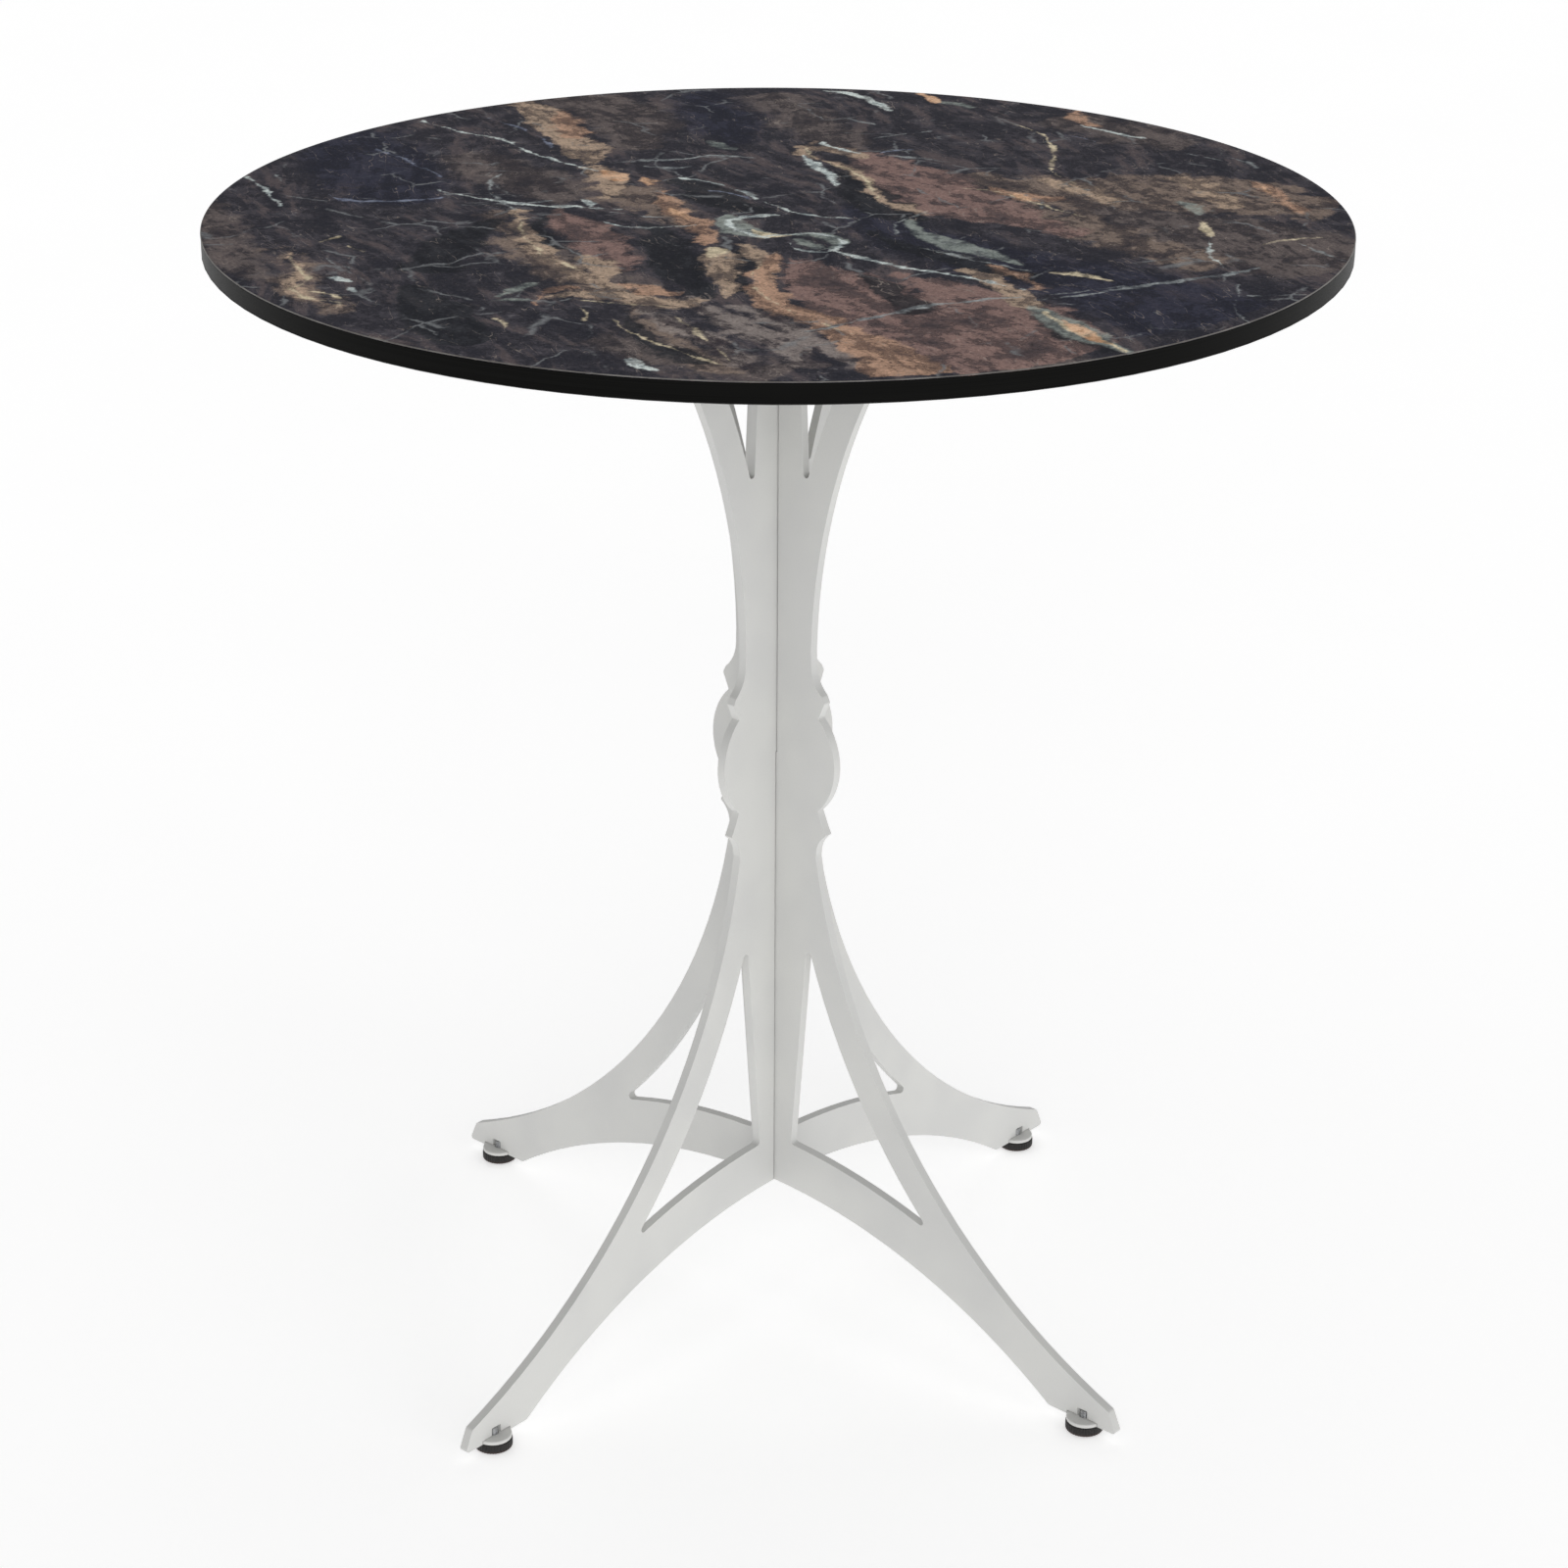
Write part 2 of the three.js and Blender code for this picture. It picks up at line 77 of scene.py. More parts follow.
class Graph:
    """A node tree, with a short call for each kind of node."""

    def __init__(self, tree):
        self.tree = tree

    @classmethod
    def material(cls, name):
        """An empty graph in a new material, which surface() returns when it is built."""
        material = bpy.data.materials.new(name)
        material.use_nodes = True
        material.node_tree.nodes.clear()
        graph = cls(material.node_tree)
        graph.made = material
        return graph

    def node(self, kind, **settings):
        made = self.tree.nodes.new("ShaderNode" + kind)
        for key, value in settings.items():
            setattr(made, key, value)
        return made

    def put(self, socket, value):
        """Links an input to another node's output, or sets it to a number, vector or colour."""
        if isinstance(value, bpy.types.NodeSocket):
            self.tree.links.new(value, socket)
        else:
            socket.default_value = value

    def call(self, made, *values):
        """Fills a node's inputs in their order."""
        for socket, value in zip(made.inputs, values):
            self.put(socket, value)
        return made.outputs[0]

    def math(self, operation, *values):
        return self.call(self.node("Math", operation=operation), *values)

    def vector(self, operation, *values):
        made = self.node("VectorMath", operation=operation)
        self.call(made, *values)
        return made.outputs["Value" if operation == "DOT_PRODUCT" else "Vector"]

    def remap(self, value, low, high, to_low=0.0, to_high=1.0):
        """A smooth step from to_low to to_high. With low above high it runs the other way."""
        made = self.node("MapRange", interpolation_type="SMOOTHSTEP")
        return self.call(made, value, low, high, to_low, to_high)

    def mix(self, share, first, second, blend="MIX"):
        """Two colours, mixed. The colour sockets of a Mix node come after its other types."""
        made = self.node("Mix", data_type="RGBA", blend_type=blend)
        self.put(made.inputs["Factor"], share)
        self.put(made.inputs[6], first)
        self.put(made.inputs[7], second)
        return made.outputs[2]

    def noise(self, at, scale, detail=3.0, roughness=0.55, output="Fac"):
        made = self.node("TexNoise", noise_dimensions="3D")
        self.put(made.inputs["Vector"], at)
        self.put(made.inputs["Scale"], scale)
        self.put(made.inputs["Detail"], detail)
        self.put(made.inputs["Roughness"], roughness)
        return made.outputs[output]

    def curve(self, value, points, handles="AUTO"):
        """A value read off a curve through the points: smooth, or straight with VECTOR."""
        made = self.node("FloatCurve")
        made.mapping.use_clip = False
        line = made.mapping.curves[0]
        while len(line.points) < len(points):
            line.points.new(0.5, 0.5)
        for slot, place in zip(line.points, points):
            slot.location = place
            slot.handle_type = handles
        made.mapping.update()
        self.put(made.inputs["Value"], value)
        return made.outputs[0]

    def mapping(self, at, location=(0, 0, 0), turn=(0, 0, 0), scale=(1, 1, 1)):
        return self.call(self.node("Mapping"), at, location, turn, scale)

    def place(self):
        """The point on the object, in metres."""
        return self.node("TexCoord").outputs["Object"]

    def bump(self, height, depth, strength):
        """A normal from a height of 0 to 1, which stands for depth metres."""
        made = self.node("Bump")
        self.put(made.inputs["Strength"], strength)
        self.put(made.inputs["Distance"], depth)
        self.put(made.inputs["Height"], height)
        return made.outputs["Normal"]

    def surface(self, **inputs):
        """Ends a material with a Principled shader. Input names have _ for their spaces."""
        shader = self.node("BsdfPrincipled")
        for key, value in inputs.items():
            self.put(shader.inputs[key.replace("_", " ")], value)
        output = self.node("OutputMaterial")
        self.tree.links.new(shader.outputs[0], output.inputs["Surface"])
        return self.made


def powder_coat():
    """Off-white polyester powder: a slight orange peel, and cloudier and clearer areas."""
    g = Graph.material("powder_coat")
    at = g.place()
    cloud = g.noise(at, 14, 2)
    peel = g.noise(at, 520, 2, 0.5)
    grain = g.noise(at, 2600, 2, 0.6)
    colour = g.mix(g.remap(cloud, 0.35, 0.65), srgb(213, 213, 211), srgb(219, 219, 216))
    colour = g.mix(g.remap(grain, 0.45, 0.75, 0, 0.22), colour, srgb(187, 187, 185))
    height = g.math("ADD", g.math("MULTIPLY", peel, 0.7), g.math("MULTIPLY", grain, 0.3))
    return g.surface(
        Base_Color=colour,
        Roughness=g.remap(grain, 0.3, 0.7, 0.42, 0.52),
        Specular_IOR_Level=0.4,
        Normal=g.bump(height, 0.00006, 0.5),
    )


def laminate_core():
    """Black core of pressed paper: a machined rim with a faint trace of its layers."""
    g = Graph.material("laminate_core")
    at = g.place()
    layers = g.noise(g.mapping(at, scale=(4, 4, 2600)), 1, 2)
    grain = g.noise(at, 1500, 3, 0.6)
    colour = g.mix(g.remap(layers, 0.3, 0.7), srgb(11, 11, 10), srgb(17, 17, 16))
    height = g.math("ADD", layers, g.math("MULTIPLY", grain, 0.6))
    return g.surface(
        Base_Color=colour,
        Roughness=g.remap(grain, 0.3, 0.7, 0.34, 0.46),
        Specular_IOR_Level=0.04,
        Normal=g.bump(height, 0.00003, 0.5),
    )


def laminate_backing():
    """Balancing sheet under the top: black, with a fine pearl texture."""
    g = Graph.material("laminate_backing")
    at = g.place()
    pearl = g.noise(at, 1100, 3, 0.55)
    cloud = g.noise(at, 25, 3)
    colour = g.mix(g.remap(cloud, 0.3, 0.7), srgb(24, 24, 24), srgb(31, 30, 30))
    return g.surface(
        Base_Color=colour,
        Roughness=g.remap(pearl, 0.3, 0.7, 0.5, 0.68),
        Specular_IOR_Level=0.4,
        Normal=g.bump(pearl, 0.0001, 0.6),
    )


def arris():
    """Chamfer round the décor, where the cut paper of the sheet shows, in a lighter grey that is
    partly a painted highlight of the chamfer catching the light.
    """
    g = Graph.material("arris")
    at = g.place()
    wear_and_glint = g.noise(at, 60, 4, 0.6)
    # Both greys are partly painted highlight on the chamfer, made patchy by the noise.
    colour = g.mix(g.remap(wear_and_glint, 0.3, 0.7), srgb(96, 92, 88), srgb(134, 131, 127))
    return g.surface(Base_Color=colour, Roughness=g.remap(wear_and_glint, 0.3, 0.7, 0.4, 0.55))


def zinc():
    """Zinc-plated steel, slightly clouded."""
    g = Graph.material("zinc")
    at = g.place()
    cloud = g.noise(at, 700, 4, 0.6)
    colour = g.mix(g.remap(cloud, 0.3, 0.7), srgb(172, 174, 177), srgb(205, 206, 206))
    return g.surface(
        Base_Color=colour,
        Metallic=1.0,
        Roughness=g.remap(cloud, 0.3, 0.7, 0.24, 0.4),
        Normal=g.bump(g.noise(at, 3000, 2), 0.00002, 0.4),
    )


def brass():
    """Turned brass, with fine rings."""
    g = Graph.material("brass")
    at = g.place()
    turning = g.noise(g.mapping(at, scale=(300, 300, 5000)), 1, 2)
    colour = g.mix(g.remap(turning, 0.3, 0.7), srgb(176, 140, 76), srgb(214, 180, 112))
    return g.surface(
        Base_Color=colour,
        Metallic=1.0,
        Roughness=g.remap(turning, 0.3, 0.7, 0.25, 0.42),
        Normal=g.bump(turning, 0.00002, 0.5),
    )


def nylon():
    """Moulded black nylon with a slight bloom, browner from 3 mm above the floor downwards."""
    g = Graph.material("nylon")
    at = g.place()
    spark = g.noise(at, 2200, 3, 0.6)
    bloom = g.noise(at, 160, 3)
    height_mm = g.vector("DOT_PRODUCT", at, (0, 0, 1 / MM))
    colour = g.mix(g.remap(bloom, 0.35, 0.7), srgb(20, 19, 19), srgb(36, 33, 32))
    colour = g.mix(g.remap(height_mm, 3.0, 1.2, 0, 0.8), colour, srgb(58, 38, 31))
    return g.surface(
        Base_Color=colour,
        Roughness=g.remap(bloom, 0.3, 0.7, 0.34, 0.48),
        Specular_IOR_Level=0.4,
        Normal=g.bump(spark, 0.00004, 0.5),
    )


def rubber():
    """Dull grey-black soles."""
    g = Graph.material("rubber")
    at = g.place()
    grain = g.noise(at, 900, 4, 0.65)
    colour = g.mix(g.remap(grain, 0.35, 0.7), srgb(30, 30, 30), srgb(52, 50, 48))
    return g.surface(
        Base_Color=colour, Roughness=0.9, Normal=g.bump(grain, 0.0001, 0.5)
    )


# ---- Marble décor ------------------------------------------------------------------------------
# The print is laid out on a plan of the top as it is seen from the camera side. A place is
# (across from the left, down from the back), each from 0 to 100, so one unit is 7 mm. A band is
# a line of places with a half width at each, and a vein is a width and a line of places.
UNITS_PER_METRE = 1000 / 7
MIDDLE = 50
# Past its ends a band closes over this length, to a half width that lies outside it.
BAND_END, BAND_OUTSIDE = 1.2, -1.6
# Layers with less raggedness than this are veins and flecks, with crisper edges.
FINE_RAG = 2


def vein(width, *places):
    """A band that thins out towards its ends."""
    last = len(places) - 1
    thinnest, half_width = 0.35, width * 0.42
    band = []
    for i, (x, y) in enumerate(places):
        # 0.4 of a step short of each end, so that the ends don't vanish
        middle = math.sin(math.pi * (i + 0.4) / (last + 0.8))
        band.append((x, y, half_width * (thinnest + (1 - thinnest) * middle)))
    return band


# Each layer: darker colour, lighter colour, strength, softness and raggedness of its edge in
# units, and its bands. The layers are painted in this order.
LAYERS = {
    "navy": (srgb(38, 38, 46), srgb(49, 49, 60), 0.85, 1.8, 9, [
        [(7, 18, 4), (12, 30, 6), (15, 40, 6), (17, 47, 3)],
        [(42, 2, 2), (44, 10, 4), (45, 17, 4), (46, 24, 1)],
        [(56, 47, 1), (60, 56, 3.4), (67, 64, 4.6), (76, 72, 6), (84, 83, 8)],
    ]),
    "clouds": (srgb(60, 54, 55), srgb(96, 86, 82), 0.8, 1.6, 13, [
        [(28, 3, 3), (33, 10, 5), (36, 18, 4), (37, 26, 2)],
        [(49, 3, 3), (52, 12, 3), (55, 20, 3.4), (57, 27, 2.4)],
        [(78, 47, 3), (84, 54, 6), (90, 60, 8), (97, 66, 6)],
        [(21, 28, 1.4), (25, 36, 4), (30, 42, 3.6), (31, 46, 2)],
        [(77, 13, 3), (83, 18, 4), (88, 24, 3)],
        [(0, 48, 1.4), (1.6, 56, 2.2), (4.4, 65, 2.4), (8, 72, 1.4)],
        [(36, 88, 2), (42, 93, 3), (50, 98, 3)],
        [(62, 86, 3), (67, 92, 5), (70, 97, 5)],
        [(29, 60, 1.6), (33, 68, 3.4), (38, 76, 3)],
    ]),
    "umber": (srgb(68, 60, 59), srgb(120, 104, 93), 0.85, 0.9, 13, [
        [(67, 37, 2), (74, 41, 5), (84, 42, 7), (93, 44, 6), (98, 48, 3)],
        [(34, 37, 1), (37, 44, 3), (40, 49, 2.6), (42.4, 54, 1)],
        [(38, 79, 0.6), (40, 85, 1.6), (43, 91, 1.6), (46, 98, 1.6)],
        [(25, 50, 0.8), (27, 58, 1.5), (29, 64, 1.6), (33, 70, 2.2), (37, 76, 2), (40, 80, 1)],
        [(69, 47, 1), (75, 52, 3), (81, 60, 3), (86, 67, 2)],
        [(8, 62, 0.6), (10, 68, 1.2), (12, 76, 1.6), (15, 82, 0.6)],
    ]),
    "russet": (srgb(78, 66, 65), srgb(124, 100, 93), 0.95, 0.4, 7, [
        [(57.4, 27, 0.8), (60, 33, 3.4), (63, 40, 5.6), (66, 47, 5), (71, 52, 2.6), (76, 57, 1)],
        [(30.5, 49, 0.6), (33, 55, 2.4), (35, 61, 2.4), (37, 69, 1.4)],
        [(51, 65, 0.8), (54, 72, 4), (58, 79, 6), (63, 87, 7.4), (69, 95, 6)],
        [(60, 69, 0.8), (64.6, 76, 3.2), (69.4, 83, 4.4), (74, 91, 3.6)],
    ]),
    "black": (srgb(34, 34, 37), srgb(46, 46, 49), 0.9, 0.4, 4.5, [
        [(39, 54, 0.8), (40.5, 61, 2.2), (42, 69, 2.2), (44, 77, 0.8)],
        [(41, 37, 0.6), (44, 43, 2.6), (48, 49, 1.6)],
        [(57, 70, 0.4), (59, 74, 1.4), (60.5, 79, 1.6), (61.5, 82, 0.6)],
        [(56, 33, 0.4), (57, 39, 1.6), (58.4, 45, 2.6), (61, 52, 1.8)],
        [(69, 77, 0.4), (71.4, 82.4, 1.2), (74, 88, 1.3), (76.6, 92.6, 0.6)],
        [(29, 52, 0.5), (29.6, 57, 0.9), (30.6, 62, 0.7)],
        [(58, 56, 0.5), (61, 61, 1.4), (66, 66, 1.6), (71, 71, 1)],
        [(38, 82, 0.4), (39.4, 88, 1.2), (44, 95, 1.2)],
        [(46.4, 62, 0.5), (47.2, 69, 1.2), (46.8, 75, 0.8)],
        [(20, 74, 1.4), (23, 82, 3), (26, 90, 2.6)],
        [(25.6, 52, 0.8), (22.6, 60, 2.4), (21, 69, 2.6)],
    ]),
    "stone": (srgb(60, 53, 55), srgb(128, 117, 111), 0.85, 0.5, 6, [
        [(38.6, 79, 0.5), (41.4, 84, 1.1), (44.6, 90, 1.2), (47.6, 96, 0.9)],
        [(42.6, 77, 0.7), (45.8, 83, 1.5), (49.6, 89, 1.8), (52.8, 96, 1.5)],
        [(46.6, 79, 0.6), (50, 84.4, 1.2), (53.6, 90, 1.2), (56.4, 96, 0.8)],
    ]),
    "tan": (srgb(92, 80, 73), srgb(156, 134, 115), 1.0, 0.3, 5, [
        [(24, 6, 1.6), (26.6, 11, 2.4), (28.6, 18, 1.4), (30, 22, 1.6), (32, 27, 2.4),
         (33, 32.4, 0.8)],
        [(33, 33, 0.8), (34.4, 36, 1.6), (35, 41, 1.2), (34.8, 45, 0.5)],
        [(27.2, 49, 0.5), (28.4, 57, 0.8), (30.4, 64.6, 1.0), (34.4, 71, 1.3), (36.8, 75, 0.9),
         (38.4, 79, 0.5)],
        [(44.4, 62, 0.8), (45.4, 67, 1.7), (45.8, 72, 1.2), (45.4, 77, 0.4)],
        [(33.6, 64, 0.7), (35, 67, 1.5), (36, 70.4, 0.9)],
        [(65.6, 68, 0.4), (68.6, 74, 1.5), (70.4, 79, 1.3)],
        [(52.8, 23, 0.3), (52.6, 28, 0.5), (56, 32.6, 0.8), (58, 38.4, 0.6), (58.8, 44, 0.6),
         (63, 50, 0.5)],
        [(52, 25, 0.6), (55, 26, 1.4), (58, 29, 0.8)],
        [(74, 37, 0.8), (78, 42, 1.8), (80, 46, 0.8)],
        [(86, 36, 0.8), (89, 42, 2), (90, 47, 1)],
        [(31, 77.4, 0.8), (36, 76, 1.2), (41, 78.6, 1.4), (44, 78, 0.6)],
        [(9, 64, 0.2), (10.4, 69, 0.5), (11, 75, 0.6), (14.6, 80, 0.3)],
        [(46.6, 60, 0.6), (49, 67, 0.9), (48, 76, 0.8)],
    ]),
    "orange": (srgb(108, 86, 74), srgb(166, 132, 110), 0.9, 0.35, 5, [
        [(28.8, 11, 0.6), (30, 17, 1.5), (30.8, 22, 1.1)],
        [(40, 42, 0.4), (40.6, 47, 0.9), (42.6, 53, 1.3), (43.6, 57, 1.1), (44, 61, 0.8)],
        [(50, 63, 0.4), (48.8, 71, 1.3), (49.6, 78, 1.5), (53.4, 84, 1.6), (57, 90, 2.2),
         (60, 98, 3.4)],
        [(69, 40.4, 0.5), (71.6, 43.6, 1.1), (74.6, 44.4, 0.9)],
        [(92.8, 38, 0.3), (93.8, 41, 0.7), (96, 49, 0.5)],
        [(37, 73, 0.5), (39.6, 75, 1.1), (41.6, 76, 0.5)],
        [(67.6, 66.4, 0.3), (70, 70, 0.5), (71.4, 74, 0.4)],
        [(80, 9, 0.4), (79, 12.4, 0.8), (80.4, 16, 0.4)],
        [(30.4, 78.4, 0.2), (31, 76, 0.6), (33.4, 74, 0.6), (34.8, 75.4, 0.5)],
    ]),
    "slate": (srgb(84, 88, 86), srgb(138, 142, 134), 0.75, 0.3, 1.9, [
        [(45.4, 51, 0.8), (45.8, 53.4, 1.6), (47.4, 56.4, 1.6), (50, 57.4, 0.9)],
        [(50, 57, 0.6), (53, 57, 1.1), (55, 58.6, 1), (55, 61, 0.8), (53.4, 62.4, 0.4)],
        [(51.6, 58.6, 0.4), (52.6, 60, 0.8), (53.6, 61.6, 0.4)],
        [(61.4, 52, 0.4), (62.4, 56.6, 0.9), (65, 60.4, 1.4), (68, 63.4, 1), (70.4, 66.6, 0.3)],
        [(66, 6, 0.3), (67.4, 7, 0.7), (69, 8.8, 0.3)],
        [(43.4, 23, 0.5), (44.4, 24.6, 0.9), (45.6, 26, 0.5)],
        [(85.4, 45, 0.4), (86.6, 47, 0.9), (87, 49.6, 0.5)],
        [(70, 79, 0.4), (72, 83, 1.6), (74.4, 87.4, 1.7), (77.4, 92, 0.3)],
        [(27, 77, 0.4), (28.6, 75, 0.6), (30, 72.8, 0.3)],
        [(27, 78.4, 0.3), (28.6, 77.8, 0.5), (30, 77.6, 0.2)],
    ]),
    "cream": (srgb(136, 124, 102), srgb(196, 180, 152), 0.95, 0.2, 1.7, [
        [(72.6, 69, 0.2), (74.6, 69.4, 0.6), (76, 70.2, 0.7), (77.4, 71.4, 0.2)],
        [(71.2, 80.6, 0.2), (72.4, 83.6, 0.5), (74, 86.6, 0.7), (77, 91.6, 0.3)],
        [(47.6, 55.6, 0.4), (49, 57.3, 1.1), (50.8, 57.3, 0.6)],
        [(44.2, 61.4, 0.6), (44.8, 63, 1.1), (44.4, 64.4, 0.5)],
        [(86.9, 51.8, 0.2), (87.1, 54.4, 0.6), (87, 57, 0.3)],
        vein(0.5, (37, 83), (38.4, 87), (41.4, 91), (46, 96)),
        vein(0.4, (41.4, 81.4), (43, 85), (45.6, 92), (46.6, 95)),
        vein(0.5, (91.2, 59.8), (93, 58.2), (96.6, 57)),
        vein(0.6, (11.2, 60.4), (12.2, 59), (12.8, 58.2)),
        vein(0.5, (13.8, 61.4), (14.6, 62.4), (15.2, 63.4)),
        vein(0.7, (9.4, 65), (10.4, 69), (11.4, 72), (10.4, 75)),
        vein(0.6, (10.6, 75), (12.4, 78), (14.4, 78.6), (14.8, 80.6)),
        vein(0.6, (12, 75.8), (13.4, 76.4), (14.8, 77.6)),
        vein(0.5, (53, 24), (52.8, 28), (55, 31.6), (57, 35), (58.2, 40), (58.8, 45)),
        vein(0.4, (27.4, 50), (28.4, 58), (30.4, 64), (34.4, 70)),
        vein(0.5, (27.6, 83), (28.4, 84.4), (28.6, 86.4)),
        vein(0.4, (34, 80), (34.8, 81.6), (34.4, 84)),
        vein(0.4, (32, 76.6), (34.4, 78), (37.4, 78.8), (41.4, 79.6)),
        vein(0.4, (66.6, 40.4), (70, 42.4), (73.4, 46.6), (77, 51)),
        vein(0.4, (72.2, 15), (74.4, 18.4), (75.4, 22), (75.6, 27), (75, 33), (77, 39)),
        vein(0.3, (48.6, 66), (48, 72), (50, 79), (56, 87)),
    ]),
    "apricot": (srgb(154, 116, 88), srgb(200, 162, 132), 0.95, 0.25, 1.9, [
        [(34, 34.4, 0.6), (35, 36.4, 1.6), (35.8, 38.6, 0.7)],
        [(37.8, 37, 0.3), (38.2, 38.4, 0.8), (38.4, 40, 0.4)],
        [(72.6, 82.8, 0.2), (73.6, 85.4, 0.7), (74.8, 88.2, 0.6), (76, 90, 0.2)],
        [(63.8, 2.6, 0.2), (64.8, 4.4, 0.6), (65.6, 6.4, 0.4)],
        [(71.2, 42.4, 0.3), (71.9, 43.7, 0.7), (72.4, 45, 0.3)],
        [(93.4, 39.4, 0.15), (93.6, 40.6, 0.35), (93.8, 41.8, 0.15)],
        [(40.6, 48, 0.2), (41.4, 50, 0.6), (42.2, 52, 0.2)],
    ]),
    "pale": (srgb(122, 128, 128), srgb(192, 196, 190), 0.95, 0.2, 1.6, [
        [(52.2, 28.4, 0.2), (53, 31.6, 0.8), (54.4, 35, 0.6), (55.4, 40, 0.3)],
        [(54.6, 1.4, 0.2), (58, 3.6, 0.5), (59.6, 7, 0.6), (60.6, 10, 0.3)],
        [(13, 71.4, 0.3), (14, 71.8, 0.8), (15, 72.4, 0.3)],
        [(38.2, 94.2, 0.3), (39.4, 95.8, 0.7), (40.6, 97.4, 0.3)],
        [(33, 45.2, 0.2), (33.4, 46.6, 0.6), (33.4, 48, 0.2)],
        [(41, 36.8, 0.2), (41.6, 37.4, 0.6), (42.4, 37.8, 0.2)],
        [(15, 74.4, 0.2), (15.4, 75.2, 0.5), (15.8, 76, 0.2)],
        vein(0.9, (19.6, 42.2), (23, 44.6), (27, 46.8), (31, 47.8), (36.4, 48.8)),
        vein(0.5, (15.6, 15.2), (18.6, 18.4), (21, 20.6), (24, 22.6), (27, 28), (34, 35.2)),
        vein(0.5, (41.6, 37), (46.4, 41.6), (49.6, 46.8), (52.6, 50.4), (56.4, 51.4)),
        vein(0.8, (54.6, 61.8), (57.8, 65.4), (62, 68.2), (66.4, 71), (70, 74.4)),
        vein(1.1, (45.4, 53.4), (46.2, 51.8), (48, 50.8), (50.2, 50.6)),
        vein(1.2, (45.6, 52), (46, 54.6), (47.6, 57), (49.4, 58.2)),
        vein(0.8, (48.6, 57.6), (51.4, 56.8), (54.2, 57.2), (55.2, 58.6)),
        vein(0.8, (54.8, 57.6), (55.4, 60), (54.6, 62.4)),
        vein(0.6, (51, 60), (51.8, 62.2), (53.2, 62.8), (54.8, 62.2)),
        vein(0.7, (79.2, 15.6), (81, 18), (84.4, 20.8)),
        vein(0.6, (1.6, 37.4), (3.4, 40.6), (4.8, 44), (6.2, 48)),
        vein(0.6, (54, 23.4), (55.4, 25.6), (57.4, 27.4)),
        vein(0.4, (87, 57), (86.4, 61.4), (86.8, 65), (87.6, 69)),
        vein(0.5, (34.8, 53), (38.2, 55), (41, 54.6), (43, 53.8)),
    ]),
    "ash": (srgb(88, 90, 92), srgb(142, 144, 142), 0.9, 0.2, 1.4, [
        vein(1.0, (52.2, 86.4), (57, 83), (61, 79.8), (65.6, 77.6), (70.6, 76.4)),
        vein(1.0, (70.8, 77.4), (76.4, 74.8), (81.4, 71.8), (86.4, 69.4), (90, 67)),
        vein(0.4, (72, 75.8), (75.4, 74.2), (78.4, 73)),
        vein(0.6, (34, 48.6), (37, 50.6), (40, 51.4)),
        vein(0.4, (22, 47.2), (26, 46.8), (30, 45.8)),
        vein(0.6, (87.8, 27), (89.6, 28.2), (91.2, 30)),
        vein(0.6, (92, 28.8), (93.4, 30.6), (94, 32.6)),
        vein(0.3, (87.8, 72), (87.2, 76.4), (86.4, 80), (87.2, 83.4)),
        vein(0.5, (88, 75.7), (90.4, 75.4), (92.8, 75.2)),
        vein(0.3, (94.4, 58.4), (95.6, 61.8), (97.4, 64.6)),
        vein(0.3, (4.2, 36.2), (5.2, 38.6), (6.2, 41)),
        vein(0.5, (60.4, 28.4), (62, 29), (66.4, 31)),
        vein(0.9, (37.4, 30.8), (41, 30), (44, 28.8), (48, 29.6)),
        vein(0.6, (25, 36), (24, 40), (25.4, 46), (26.8, 49)),
        vein(0.5, (76, 39.6), (78, 41.4)),
        vein(0.5, (12.2, 65.2), (13.4, 67.4), (15, 69)),
        vein(0.4, (59, 21.4), (62.4, 19.4), (64.4, 18.4)),
        vein(0.5, (56.8, 13.4), (58, 15), (59.4, 16)),
        vein(0.5, (62, 60.6), (66, 64.6), (71, 68.4)),
        vein(0.9, (37.6, 33), (40, 33.4), (42.2, 32.8)),
        vein(0.4, (63, 49), (60.6, 52.6), (60, 56), (62, 60.4)),
    ]),
    "lilac": (srgb(84, 88, 104), srgb(124, 128, 142), 0.8, 0.2, 1.5, [
        vein(0.8, (10, 44), (11.6, 45.8), (15, 46.4), (18, 45.6), (20.4, 44.8)),
        vein(0.6, (42.4, 41.4), (45.4, 42.8), (48, 45)),
        vein(0.5, (77, 19.6), (78.8, 21), (80, 22.2)),
        vein(0.4, (12.6, 26.8), (15, 30), (17.6, 34.4), (19.6, 37.4)),
        vein(0.5, (59.6, 27.4), (61, 26.4), (62.4, 26)),
        vein(0.5, (22, 14), (26, 19), (29, 26)),
    ]),
}


